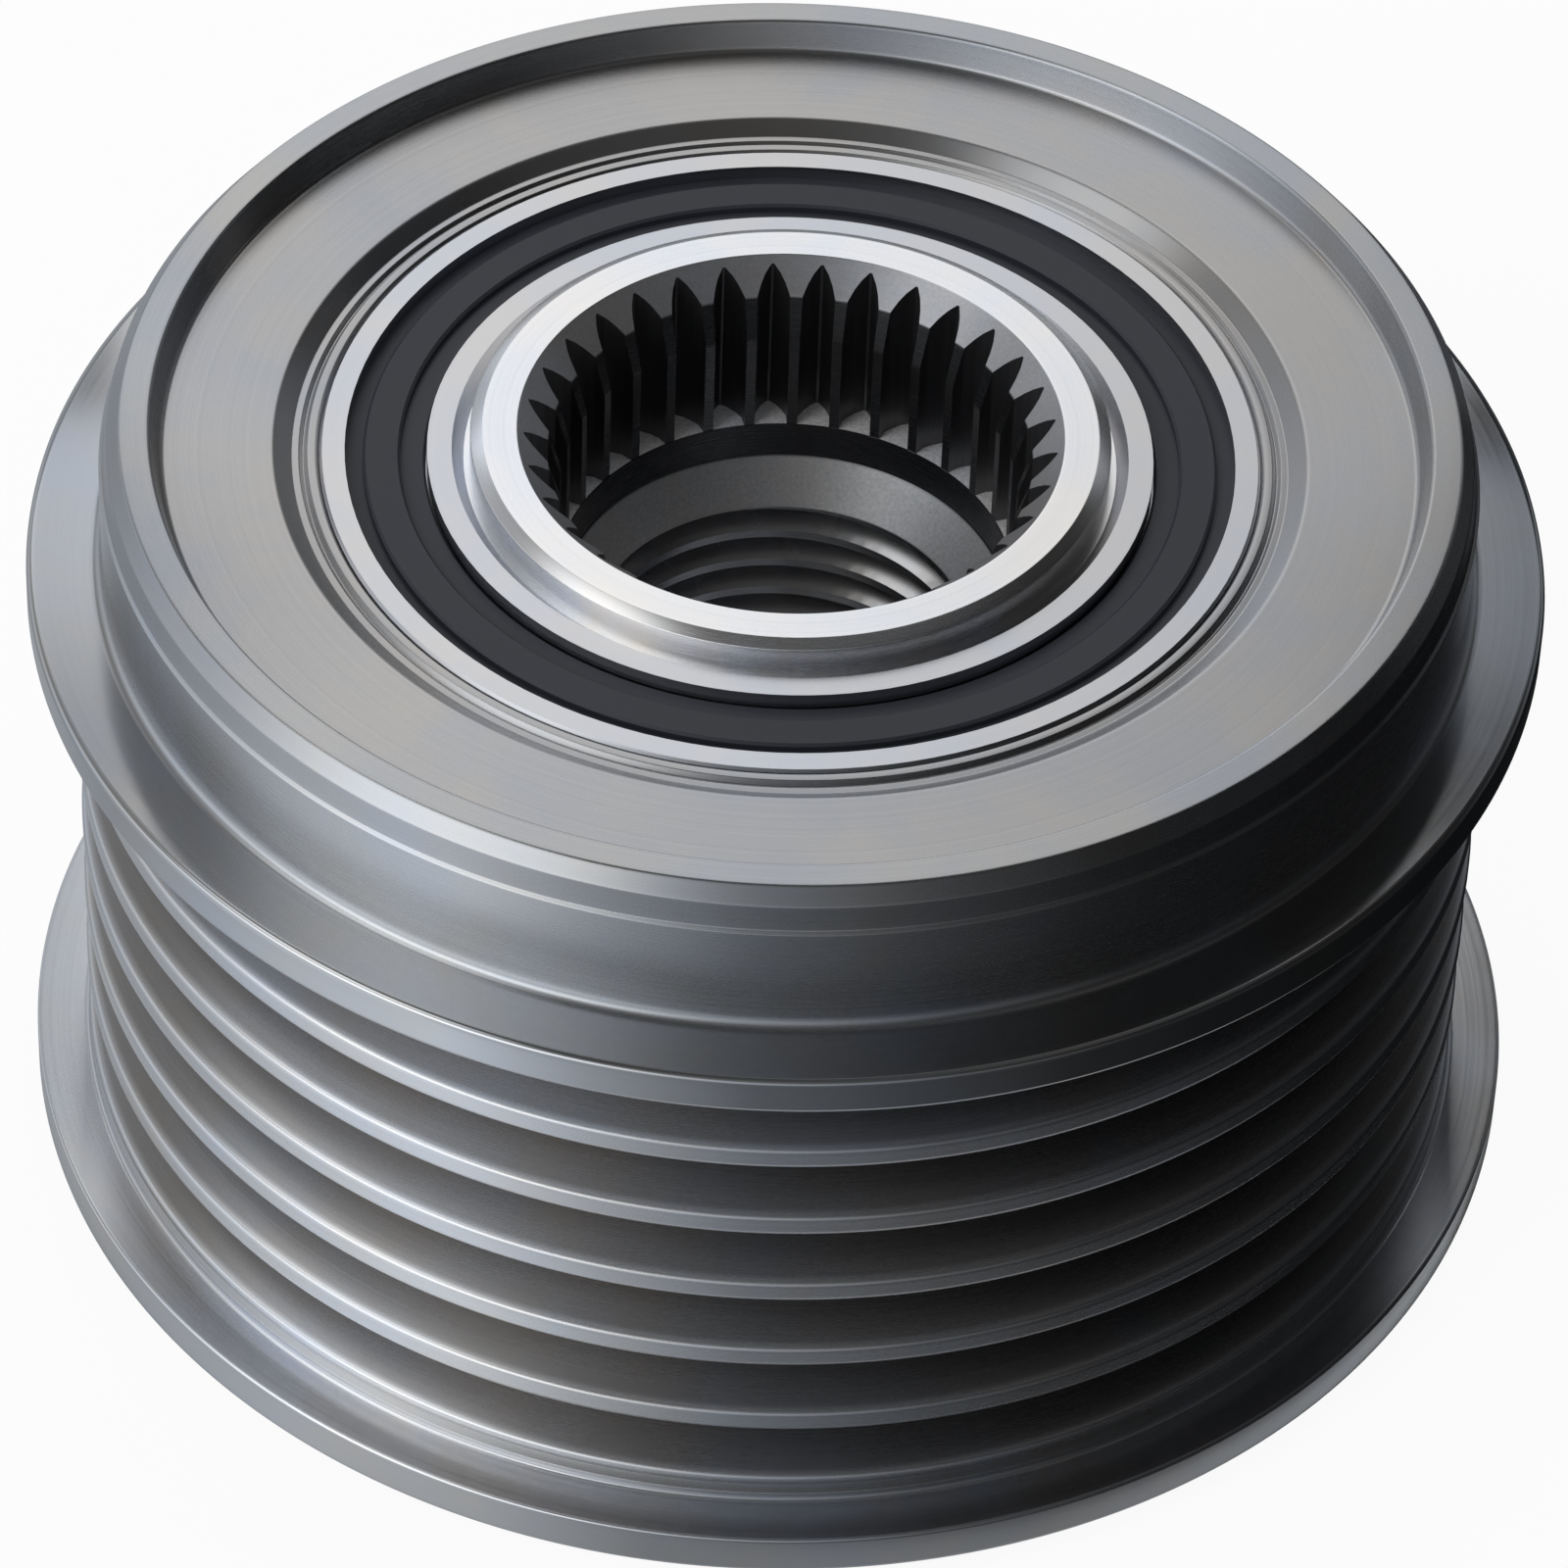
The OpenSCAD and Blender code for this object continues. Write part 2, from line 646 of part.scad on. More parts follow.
pulley_ring();
hub();
front_bearing_outer_ring();
front_bearing_inner_ring();
front_bearing_balls();
front_bearing_cage();
front_bearing_front_seal();
front_bearing_rear_seal();
clutch_cup();
clutch_inner_ring();
clutch_rollers();
clutch_cage();
clutch_springs();
divider_washer();
needle_rollers();
needle_cage();
front_thrust_washer();
rear_thrust_washer();
rear_seal_case();
rear_seal_lip();
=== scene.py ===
import math

import bpy
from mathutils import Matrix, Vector


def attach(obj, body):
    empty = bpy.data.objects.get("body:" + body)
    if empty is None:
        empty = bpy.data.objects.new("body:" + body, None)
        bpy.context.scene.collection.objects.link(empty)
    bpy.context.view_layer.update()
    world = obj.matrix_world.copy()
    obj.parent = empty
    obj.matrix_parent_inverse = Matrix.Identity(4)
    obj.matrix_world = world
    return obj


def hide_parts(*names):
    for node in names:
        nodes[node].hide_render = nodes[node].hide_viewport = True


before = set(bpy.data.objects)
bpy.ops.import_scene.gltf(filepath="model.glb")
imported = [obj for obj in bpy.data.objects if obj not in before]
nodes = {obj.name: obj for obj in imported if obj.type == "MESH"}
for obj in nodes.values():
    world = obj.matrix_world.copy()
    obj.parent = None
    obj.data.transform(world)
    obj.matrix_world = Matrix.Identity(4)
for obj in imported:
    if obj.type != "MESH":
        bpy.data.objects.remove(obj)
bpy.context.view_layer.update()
mm = 0.001


# Camera. A long lens looks down on the front face from 43 degrees, with a slight roll, as in the photograph.
elevation = math.radians(43.26)
roll = math.radians(2.22)
camera_data = bpy.data.cameras.new("camera")
camera_data.sensor_width = 36
camera_data.lens = 197.9
camera_data.clip_start = 0.01
camera = bpy.data.objects.new("camera", camera_data)
camera.location = (0.25 * mm, -248.8 * mm, 248.6 * mm)
camera.rotation_mode = "ZYX"
camera.rotation_euler = (math.pi / 2 - elevation, 0, roll)
bpy.context.scene.collection.objects.link(camera)
bpy.context.scene.camera = camera


# Floor. A pale table top that the camera sees as white paper, with the soft shadow of the pulley left on it.
def new_material(name):
    material = bpy.data.materials.new(name)
    material.use_nodes = True
    material.node_tree.nodes.clear()
    return material


def add_node(tree, kind, inputs=None, **settings):
    node = tree.nodes.new(kind)
    for key, value in settings.items():
        setattr(node, key, value)
    for key, value in (inputs or {}).items():
        if isinstance(value, bpy.types.NodeSocket):
            tree.links.new(value, node.inputs[key])
        else:
            node.inputs[key].default_value = value
    return node


def maths(tree, operation, a, b=0.0, c=0.0, clamp=False):
    node = add_node(tree, "ShaderNodeMath", {0: a, 1: b, 2: c}, operation=operation, use_clamp=clamp)
    return node.outputs[0]


def vector_maths(tree, operation, a, b):
    return add_node(tree, "ShaderNodeVectorMath", {0: a, 1: b}, operation=operation)


def white_to_the_eye(tree):
    paths = add_node(tree, "ShaderNodeLightPath")
    seen = maths(tree, "ADD", paths.outputs["Is Camera Ray"], paths.outputs["Is Glossy Ray"], clamp=True)
    return maths(tree, "ADD", seen, paths.outputs["Is Transmission Ray"], clamp=True)


bpy.ops.object.select_all(action="DESELECT")
bpy.ops.mesh.primitive_plane_add(size=3, location=(0, 0, 0))
floor = bpy.context.object
floor.name = "floor"
floor_material = new_material("white_paper")
tree = floor_material.node_tree
paper = add_node(tree, "ShaderNodeBsdfDiffuse", {"Color": (0.85, 0.85, 0.85, 1)})
white = add_node(tree, "ShaderNodeEmission", {"Color": (1, 1, 1, 1), "Strength": 1.0})
share = maths(tree, "MULTIPLY", white_to_the_eye(tree), 0.93)
mixed = add_node(tree, "ShaderNodeMixShader", {0: share, 1: paper.outputs[0], 2: white.outputs[0]})
add_node(tree, "ShaderNodeOutputMaterial", {"Surface": mixed.outputs[0]})
floor.data.materials.append(floor_material)
floor.visible_glossy = False


# Light tent. Only the reflections in the metal see it: a bright panel behind and above, grey cloth on the left,
# a softbox at the front left and black cloth on the right. Its shade depends on direction alone.
def ramp(tree, value, stops, interpolation="LINEAR"):
    node = add_node(tree, "ShaderNodeValToRGB", {"Fac": value})
    node.color_ramp.interpolation = interpolation
    elements = node.color_ramp.elements
    while len(elements) > 1:
        elements.remove(elements[-1])
    for i, (place, colour) in enumerate(stops):
        element = elements[0] if i == 0 else elements.new(place)
        element.position = place
        element.color = (*colour, 1) if len(colour) == 3 else colour
    return node.outputs["Color"]


def aimed(azimuth, height):
    a, h = math.radians(azimuth), math.radians(height)
    return Vector((math.cos(a) * math.cos(h), math.sin(a) * math.cos(h), math.sin(h)))


def soft_panel(tree, direction, azimuth, height, half_width, half_height, softness=0.5):
    towards = aimed(azimuth, height)
    side = Vector((0, 0, 1)).cross(towards).normalized()
    up = towards.cross(side)
    reach = []
    for axis, half in ((side, half_width), (up, half_height)):
        axis = axis / math.sin(math.radians(half))
        offset = vector_maths(tree, "DOT_PRODUCT", direction, tuple(axis)).outputs["Value"]
        reach.append(maths(tree, "MULTIPLY", offset, offset))
    distance = maths(tree, "SQRT", maths(tree, "ADD", reach[0], reach[1]))
    facing = vector_maths(tree, "DOT_PRODUCT", direction, tuple(towards)).outputs["Value"]
    edge = add_node(tree, "ShaderNodeMapRange", {0: distance, 1: 1 + softness, 2: 1 - softness, 3: 0.0, 4: 1.0},
                    interpolation_type="SMOOTHSTEP")
    return maths(tree, "MULTIPLY", edge.outputs[0], maths(tree, "GREATER_THAN", facing, 0.0))


bpy.ops.object.select_all(action="DESELECT")
bpy.ops.mesh.primitive_uv_sphere_add(segments=64, ring_count=32, radius=1.4)
tent = bpy.context.object
tent.name = "light_tent"
tent_material = new_material("tent_cloth")
tree = tent_material.node_tree
place = add_node(tree, "ShaderNodeTexCoord").outputs["Object"]
direction = add_node(tree, "ShaderNodeVectorMath", {0: place}, operation="NORMALIZE").outputs[0]
axes = add_node(tree, "ShaderNodeSeparateXYZ", {0: direction})
turn = maths(tree, "ARCTAN2", axes.outputs["Y"], axes.outputs["X"])
turn = maths(tree, "MULTIPLY_ADD", turn, 0.5 / math.pi, 0.5)
# Shade of the table and of the cloth, low and high, from 180 degrees on the left through the front and the right
table_shades = [(-180, 0.56), (-164, 0.70), (-140, 0.82), (-116, 0.40), (-92, 0.135), (-68, 0.06), (-44, 0.022),
                (-20, 0.010), (28, 0.006), (60, 0.008), (80, 0.02), (92, 0.08), (104, 0.38), (124, 0.40),
                (150, 0.36), (180, 0.54)]
low_shades = [(-180, 0.80), (-150, 0.75), (-120, 0.58), (-90, 0.44), (-66, 0.14), (-40, 0.03), (10, 0.014),
              (30, 0.06), (50, 0.22), (70, 0.14), (80, 0.30), (90, 0.70), (104, 0.76), (120, 0.50), (150, 0.60), (180, 0.80)]
high_shades = [(-180, 0.30), (-150, 0.28), (-120, 0.22), (-90, 0.13), (-60, 0.04), (-30, 0.018), (10, 0.014),
               (45, 0.016), (66, 0.04), (76, 0.28), (84, 0.86), (90, 1.02), (96, 1.16), (106, 0.92), (116, 0.44),
               (130, 0.26), (180, 0.30)]


def shades_round(tree, shades, tint):
    return ramp(tree, turn, [((a + 180) / 360, tuple(v * t for t in tint)) for a, v in shades])


def between(tree, value, low, high):
    return add_node(tree, "ShaderNodeMapRange", {0: value, 1: low, 2: high, 3: 0.0, 4: 1.0},
                    interpolation_type="SMOOTHSTEP").outputs[0]


def mix_colour(tree, share, first, second):
    return add_node(tree, "ShaderNodeMix", {0: share, 6: first, 7: second}, data_type="RGBA").outputs[2]


table = shades_round(tree, table_shades, (0.93, 0.99, 1.07))
low_cloth = shades_round(tree, low_shades, (0.95, 0.99, 1.05))
high_cloth = shades_round(tree, high_shades, (1.0, 1.0, 1.0))
around = mix_colour(tree, between(tree, axes.outputs["Z"], 0.30, 0.66), low_cloth, high_cloth)
around = mix_colour(tree, between(tree, axes.outputs["Z"], 0.78, 0.97), around, (0.07, 0.07, 0.07, 1))
table = mix_colour(tree, between(tree, axes.outputs["Z"], -0.80, -0.90), table, (0.42, 0.43, 0.45, 1))
around = mix_colour(tree, between(tree, axes.outputs["Z"], -0.12, 0.12), table, around)
key_panel = maths(tree, "MULTIPLY", soft_panel(tree, direction, -139, 28, 28, 14, 0.6), 1.35)
side_panel = maths(tree, "MULTIPLY", soft_panel(tree, direction, -176, 58, 16, 12, 0.5), 1.05)
key_glow = add_node(tree, "ShaderNodeEmission", {"Color": (0.97, 0.99, 1.0, 1),
                                                 "Strength": maths(tree, "ADD", key_panel, side_panel)})
glow = add_node(tree, "ShaderNodeEmission", {"Color": around, "Strength": 1.0})
both = add_node(tree, "ShaderNodeAddShader", {0: glow.outputs[0], 1: key_glow.outputs[0]})
add_node(tree, "ShaderNodeOutputMaterial", {"Surface": both.outputs[0]})
tent.data.materials.append(tent_material)
tent_material.cycles.emission_sampling = "NONE"
tent.visible_camera = False
tent.visible_diffuse = False
tent.visible_shadow = False
tent.visible_transmission = False

# A glowing strip close round the rear flange, which alone mirrors it. It is seen only in reflections: a painted
# reflection of the paper there, brighter at the front left and front right, shaded straight in front and behind.
bpy.ops.object.select_all(action="DESELECT")
bpy.ops.mesh.primitive_circle_add(vertices=96, radius=30.2 * mm, location=(0, 0, 0))
strip = bpy.context.object
strip.name = "glowing_paper_reflection"
bpy.ops.object.mode_set(mode="EDIT")
bpy.ops.mesh.select_all(action="SELECT")
bpy.ops.mesh.extrude_edges_move(TRANSFORM_OT_translate={"value": (0, 0, 0)})
bpy.ops.transform.resize(value=(31.9 / 30.2, 31.9 / 30.2, 1), center_override=(0, 0, 0))
bpy.ops.transform.translate(value=(-1.3 * mm, -0.4 * mm, 0))
bpy.ops.mesh.select_all(action="SELECT")
bpy.ops.transform.translate(value=(0, 0, 0.02 * mm))
bpy.ops.object.mode_set(mode="OBJECT")
strip_material = new_material("glowing_paper_reflection")
tree = strip_material.node_tree
place = add_node(tree, "ShaderNodeTexCoord").outputs["Object"]
axes = add_node(tree, "ShaderNodeSeparateXYZ", {0: place})
turn = maths(tree, "ARCTAN2", axes.outputs["Y"], axes.outputs["X"])
turn = maths(tree, "MULTIPLY_ADD", turn, 0.5 / math.pi, 0.5)
paper_reflection_shades = [(-180, 0.45), (-150, 0.50), (-127, 0.66), (-112, 0.58), (-98, 0.30), (-67, 0.26), (-43, 0.40),
                (-20, 0.60), (10, 0.50), (60, 0.30), (120, 0.40), (180, 0.45)]
glow = add_node(tree, "ShaderNodeEmission", {"Color": shades_round(tree, paper_reflection_shades, (0.97, 1.0, 1.03))})
add_node(tree, "ShaderNodeOutputMaterial", {"Surface": glow.outputs[0]})
strip.data.materials.append(strip_material)
strip_material.cycles.emission_sampling = "NONE"
strip.visible_camera = False
strip.visible_diffuse = False
strip.visible_shadow = False
strip.visible_transmission = False

# Two glowing flags behind the pulley, seen only in reflections, pale on the left and dark on the right, paint
# reflected light and shade on the outer flats of its flanges: the upper part the front flange, the lower part the
# rear one.
pale_flag_glow = [(18, 0.45), (38, 0.42), (43.4, 0.34), (48.6, 0.29), (51, 0.30), (53, 0.95), (62.4, 0.87), (67.8, 0.68),
               (72.8, 0.44), (80, 0.35)]
dark_flag_glow = [(18, 0.08), (30, 0.07), (39, 0.035), (44.5, 0.018), (49.5, 0.015), (51, 0.015), (53, 0.36),
                (63.3, 0.28), (68.6, 0.09), (73, 0.015)]
for name, x0, x1, flag_shades in (("pale_glowing_flag", -48, -29.4, pale_flag_glow), ("dark_glowing_flag", 28.4, 48, dark_flag_glow)):
    flag_material = new_material(name)
    tree = flag_material.node_tree
    place = add_node(tree, "ShaderNodeTexCoord").outputs["Object"]
    axes = add_node(tree, "ShaderNodeSeparateXYZ", {0: place})
    share = maths(tree, "MULTIPLY", axes.outputs["Z"], 10.0)
    shade = ramp(tree, share, [(z / 100, (v * 0.96, v, v * 1.06)) for z, v in flag_shades])
    glow = add_node(tree, "ShaderNodeEmission", {"Color": shade})
    add_node(tree, "ShaderNodeOutputMaterial", {"Surface": glow.outputs[0]})
    flag_material.cycles.emission_sampling = "NONE"
    bpy.ops.object.select_all(action="DESELECT")
    bpy.ops.mesh.primitive_plane_add(size=1, location=(0, 0, 0))
    flag = bpy.context.object
    flag.name = name
    for vertex in flag.data.vertices:
        vertex.co = Vector((x0 if vertex.co.x < 0 else x1, 35, 18 if vertex.co.y < 0 else 92)) * mm
    flag.data.materials.append(flag_material)
    flag.visible_camera = False
    flag.visible_diffuse = False
    flag.visible_shadow = False
    flag.visible_transmission = False


# Lamps. A softbox at the front left and a broad one above the back light the rubber, the cages and the table.
def softbox(name, azimuth, height, distance, size, power):
    light = bpy.data.lights.new(name, "AREA")
    light.shape = "RECTANGLE"
    light.size, light.size_y = size
    light.energy = power
    lamp = bpy.data.objects.new(name, light)
    towards = aimed(azimuth, height)
    lamp.location = towards * distance
    lamp.rotation_euler = towards.to_track_quat("Z", "Y").to_euler()
    lamp.visible_glossy = False
    bpy.context.scene.collection.objects.link(lamp)


softbox("key_softbox", -143, 40, 0.8, (0.4, 0.4), 2.8)
softbox("top_softbox", 95, 66, 1.0, (0.8, 0.8), 2.4)

world = bpy.data.worlds.new("world")
bpy.context.scene.world = world
world.use_nodes = True
tree = world.node_tree
tree.nodes.clear()
strength = maths(tree, "MULTIPLY_ADD", white_to_the_eye(tree), 0.6, 0.4)
sky = add_node(tree, "ShaderNodeBackground", {"Color": (1, 1, 1, 1), "Strength": strength})
add_node(tree, "ShaderNodeOutputWorld", {"Surface": sky.outputs[0]})
bpy.context.scene.view_settings.view_transform = "Standard"


# Belt ring. Turned from one steel bar: rear flange, six ribbed-belt grooves, flared front flange, collar with a
# chamfered rim, recess and the staked seat of the bearing. Every edge is broken with a small radius.
def rounded(corners, steps=4, hold=0.06):
    """Points of a closed outline in mm with rounded corners (r, z, radius); a point beyond each arc keeps flats flat."""
    points = []
    for i, (r, z, radius) in enumerate(corners):
        here = Vector((r, z))
        before = Vector(corners[i - 1][:2]) - here
        after = Vector(corners[(i + 1) % len(corners)][:2]) - here
        half = before.angle(after) / 2
        if radius == 0 or half > 1.56:
            points.append(here)
            continue
        reach = min(radius / math.tan(half), before.length * 0.48, after.length * 0.48)
        bow = reach * math.tan(half)
        middle = here + (before.normalized() + after.normalized()).normalized() * (bow / math.sin(half))
        start = here + before.normalized() * reach - middle
        end = here + after.normalized() * reach - middle
        sweep = start.angle_signed(end)
        if before.length > max(0.6, reach / 0.4):
            points.append(here + before.normalized() * (reach + hold))
        for k in range(steps + 1):
            turned_by = -sweep * k / steps
            c, s = math.cos(turned_by), math.sin(turned_by)
            points.append(middle + Vector((start.x * c - start.y * s, start.x * s + start.y * c)))
        if after.length > max(0.6, reach / 0.4):
            points.append(here + after.normalized() * (reach + hold))
    return points


def turned(name, outline, segments):
    """A closed outline in mm turned about the axis, ring by ring, with its last ring merged into its first."""
    bpy.ops.object.select_all(action="DESELECT")
    r0, z0 = outline[0]
    bpy.ops.mesh.primitive_circle_add(vertices=segments, radius=r0 * mm, location=(0, 0, 0))
    piece = bpy.context.object
    piece.name = name
    bpy.ops.object.mode_set(mode="EDIT")
    bpy.ops.mesh.select_all(action="SELECT")
    bpy.ops.transform.translate(value=(0, 0, z0 * mm))
    r, z = r0, z0
    for r1, z1 in [*outline[1:], outline[0]]:
        bpy.ops.mesh.extrude_edges_move(TRANSFORM_OT_translate={"value": (0, 0, (z1 - z) * mm)})
        bpy.ops.transform.resize(value=(r1 / r, r1 / r, 1), center_override=(0, 0, z1 * mm))
        r, z = r1, z1
    bpy.ops.mesh.select_all(action="SELECT")
    bpy.ops.mesh.remove_doubles(threshold=0.002 * mm)
    bpy.ops.mesh.normals_make_consistent(inside=False)
    bpy.ops.object.mode_set(mode="OBJECT")
    return piece


def smooth(piece, angle):
    bpy.ops.object.select_all(action="DESELECT")
    piece.select_set(True)
    bpy.context.view_layer.objects.active = piece
    bpy.ops.object.shade_smooth_by_angle(angle=math.radians(angle))


def in_place_of(piece, node, body):
    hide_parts(node)
    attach(piece, body)


groove_pitch = 3.56
groove_mouth = 1.35
first_groove = 5.34
crest_r = 27.5
groove_root_r = crest_r - groove_mouth / math.tan(math.radians(20))
ring_corners = [(17.0, 1.4, 0.05), (17.4, 1.0, 0.05), (29.6, 1.0, 0.2), (29.6, 2.74, 0.12), (crest_r, 2.74, 0.2),
                (crest_r, 3.115, 0.05), (27.12, 3.365, 0.08), (crest_r, 3.615, 0.05)]
for i in range(6):
    middle = first_groove + i * groove_pitch
    ring_corners += [(crest_r, middle - groove_mouth, 0.24), (groove_root_r, middle, 0.35),
                     (crest_r, middle + groove_mouth, 0.24)]
ring_corners += [(29.3, 25.70, 0.22), (29.3, 27.20, 0.25), (26.4, 27.20, 0.42), (26.4, 31.80, 0.05),
                 (26.27, 31.93, 0.10), (26.1, 32.92, 0.16), (25.6, 33.564, 0.12), (24.45, 33.564, 0.14), (24.03, 32.364, 0.2),
                 (19.75, 32.364, 0.3), (19.05, 31.93, 0.12), (18.78, 31.96, 0.08), (18.62, 31.80, 0.06),
                 (18.45, 32.03, 0.05), (18.14, 32.03, 0.04), (18.0, 31.86, 0.03), (18.0, 24.064, 0),
                 (17.0, 24.064, 0.05)]
ring = turned("belt_ring", rounded(ring_corners), 300)
smooth(ring, 40)


# What the lathe leaves on steel: fine lines round the axis, wider bands, and a cloudy film of oil.
turning = bpy.data.node_groups.new("turned_surface", "ShaderNodeTree")
turning.interface.new_socket("Point", in_out="INPUT", socket_type="NodeSocketVector")
turning.interface.new_socket("Fineness", in_out="INPUT", socket_type="NodeSocketFloat")
for output in ("Radius", "Height", "Lines", "Bands", "Stain", "Grain"):
    turning.interface.new_socket(output, in_out="OUTPUT", socket_type="NodeSocketFloat")
group_in = turning.nodes.new("NodeGroupInput")
group_out = turning.nodes.new("NodeGroupOutput")
point = add_node(turning, "ShaderNodeVectorMath", {0: group_in.outputs["Point"], 3: 1000.0}, operation="SCALE")
point = point.outputs[0]
parts = add_node(turning, "ShaderNodeSeparateXYZ", {0: point})
across_axis = add_node(turning, "ShaderNodeCombineXYZ", {0: parts.outputs[0], 1: parts.outputs[1]}).outputs[0]
radius = add_node(turning, "ShaderNodeVectorMath", {0: across_axis}, operation="LENGTH").outputs["Value"]
feed = maths(turning, "MULTIPLY_ADD", radius, 0.6, maths(turning, "MULTIPLY", parts.outputs[2], -1.0))
lines = add_node(turning, "ShaderNodeTexNoise",
                 {"W": maths(turning, "MULTIPLY", feed, group_in.outputs["Fineness"]), "Scale": 1.0, "Detail": 3.0,
                  "Roughness": 0.65}, noise_dimensions="1D")
bands = add_node(turning, "ShaderNodeTexNoise",
                 {"W": maths(turning, "MULTIPLY_ADD", feed, 1.3, 11.7), "Scale": 1.0, "Detail": 2.0},
                 noise_dimensions="1D")
stain = add_node(turning, "ShaderNodeTexNoise",
                 {"Vector": point, "Scale": 0.13, "Detail": 4.0, "Roughness": 0.6, "Distortion": 0.5})
grain = add_node(turning, "ShaderNodeTexNoise", {"Vector": point, "Scale": 7.0, "Detail": 2.0, "Roughness": 0.6})
for output, value in (("Radius", radius), ("Height", parts.outputs[2]), ("Lines", lines.outputs["Fac"]),
                      ("Bands", bands.outputs["Fac"]), ("Stain", stain.outputs["Fac"]),
                      ("Grain", grain.outputs["Fac"])):
    turning.links.new(value, group_out.inputs[output])


def turned_steel(name, zones_of, roughness, anisotropy, fineness=9.0, contrast=0.07, groove_depth=0.0002):
    """Steel with turning lines; zones_of(tree, radius, height) gives each zone's colour, dullness and roughness."""
    material = new_material(name)
    tree = material.node_tree
    place = add_node(tree, "ShaderNodeTexCoord").outputs["Object"]
    surface = add_node(tree, "ShaderNodeGroup", {}, node_tree=turning)
    tree.links.new(place, surface.inputs["Point"])
    surface.inputs["Fineness"].default_value = fineness
    marks = surface.outputs
    colour, dull, rougher = zones_of(tree, marks["Radius"], marks["Height"])
    shade = maths(tree, "MULTIPLY_ADD", marks["Lines"], contrast, 1.0 - contrast * 0.5)
    shade = maths(tree, "MULTIPLY_ADD", marks["Bands"], contrast, maths(tree, "ADD", shade, -contrast * 0.5))
    shade = maths(tree, "MULTIPLY_ADD", marks["Stain"], contrast, maths(tree, "ADD", shade, -contrast * 0.5))
    film = add_node(tree, "ShaderNodeMapRange", {0: marks["Stain"], 1: 0.35, 2: 0.65, 3: 0.0, 4: 1.0}).outputs[0]
    tint = mix_colour(tree, film, (1.03, 1.0, 0.96, 1), (0.97, 0.995, 1.04, 1))
    colour = vector_maths(tree, "MULTIPLY", colour, tint).outputs[0]
    gloss = maths(tree, "MULTIPLY_ADD", marks["Lines"], 0.10, roughness - 0.10)
    gloss = maths(tree, "MULTIPLY_ADD", marks["Stain"], 0.10, gloss)
    metal = 1.0
    if dull is not None:
        speckle = maths(tree, "MULTIPLY", maths(tree, "SUBTRACT", marks["Grain"], 0.5), dull)
        shade = maths(tree, "MULTIPLY_ADD", speckle, 1.1, shade)
        metal = maths(tree, "MULTIPLY_ADD", dull, -0.6, 1.0)
        gloss = maths(tree, "MULTIPLY_ADD", dull, 0.25, gloss)
    if rougher is not None:
        gloss = maths(tree, "ADD", gloss, rougher)
    shaded = add_node(tree, "ShaderNodeVectorMath", {0: colour, 3: shade}, operation="SCALE").outputs[0]
    bump = add_node(tree, "ShaderNodeBump", {"Strength": 1.0, "Distance": groove_depth * mm,
                                             "Height": marks["Lines"]})
    round_way = vector_maths(tree, "CROSS_PRODUCT", (0, 0, 1), place).outputs[0]
    round_way = add_node(tree, "ShaderNodeVectorTransform", {0: round_way}, vector_type="VECTOR",
                         convert_from="OBJECT", convert_to="WORLD").outputs[0]
    normal = add_node(tree, "ShaderNodeNewGeometry").outputs["Normal"]
    across = vector_maths(tree, "CROSS_PRODUCT", round_way, normal).outputs[0]
    shader = add_node(tree, "ShaderNodeBsdfPrincipled", {
        "Base Color": shaded, "Metallic": metal, "Roughness": gloss, "Anisotropic": anisotropy,
        "Normal": bump.outputs[0], "Tangent": across})
    add_node(tree, "ShaderNodeOutputMaterial", {"Surface": shader.outputs[0]})
    return material


def ring_zones(tree, radius, height):
    # Painted shade and highlight on the ribs: the groove roots are painted darker and warmer towards the root, and
    # the crests painted pale.
    groove = mix_colour(tree, between(tree, radius, 24.4, 26.9), (0.32, 0.305, 0.29, 1), (0.46, 0.455, 0.455, 1))
    track = mix_colour(tree, between(tree, radius, 27.1, 27.36), groove, (0.74, 0.75, 0.77, 1))
    track = mix_colour(tree, between(tree, height, 3.9, 3.7), track, (0.53, 0.54, 0.555, 1))
    rear = maths(tree, "MULTIPLY", between(tree, height, 2.62, 2.70), between(tree, radius, 27.5, 27.6))
    track = mix_colour(tree, maths(tree, "MULTIPLY", rear, between(tree, height, 2.9, 2.8)), track,
                       (0.84, 0.85, 0.87, 1))
    front = mix_colour(tree, between(tree, radius, 24.1, 24.5), (0.49, 0.49, 0.495, 1), (0.49, 0.50, 0.515, 1))
    # Painted light: the collar wall is painted paler than the face and flange top beside it, to brighten its
    # reflections.
    wall = maths(tree, "MULTIPLY", between(tree, radius, 26.2, 26.4), between(tree, radius, 26.7, 26.5))
    front = mix_colour(tree, wall, front, (0.58, 0.595, 0.615, 1))
    front = mix_colour(tree, between(tree, radius, 28.9, 29.2), front, (0.60, 0.61, 0.62, 1))
    flange = maths(tree, "MULTIPLY", between(tree, radius, 26.5, 26.9), between(tree, height, 24.5, 25.5))
    flange = maths(tree, "MULTIPLY_ADD", between(tree, height, 3.2, 3.0), 0.4, flange, clamp=True)
    return (mix_colour(tree, between(tree, height, 24.45, 24.7), track, front), None,
            maths(tree, "MULTIPLY", flange, -0.13))


ring.data.materials.append(turned_steel("turned_steel", ring_zones, 0.27, 0.75))
in_place_of(ring, "pulley_ring", "pulley")


# Hub. A turned steel sleeve with a chamfered nose, a countersunk socket with 33 broached teeth, a plain relief
# and a lead-in cone to the M16 x 1.5 thread of the rotor shaft.
def cut(piece, tool):
    modifier = piece.modifiers.new("cut", "BOOLEAN")
    modifier.operation = "DIFFERENCE"
    modifier.solver = "EXACT"
    modifier.object = tool
    bpy.ops.object.select_all(action="DESELECT")
    piece.select_set(True)
    bpy.context.view_layer.objects.active = piece
    bpy.ops.object.modifier_apply(modifier=modifier.name)
    bpy.data.objects.remove(tool, do_unlink=True)


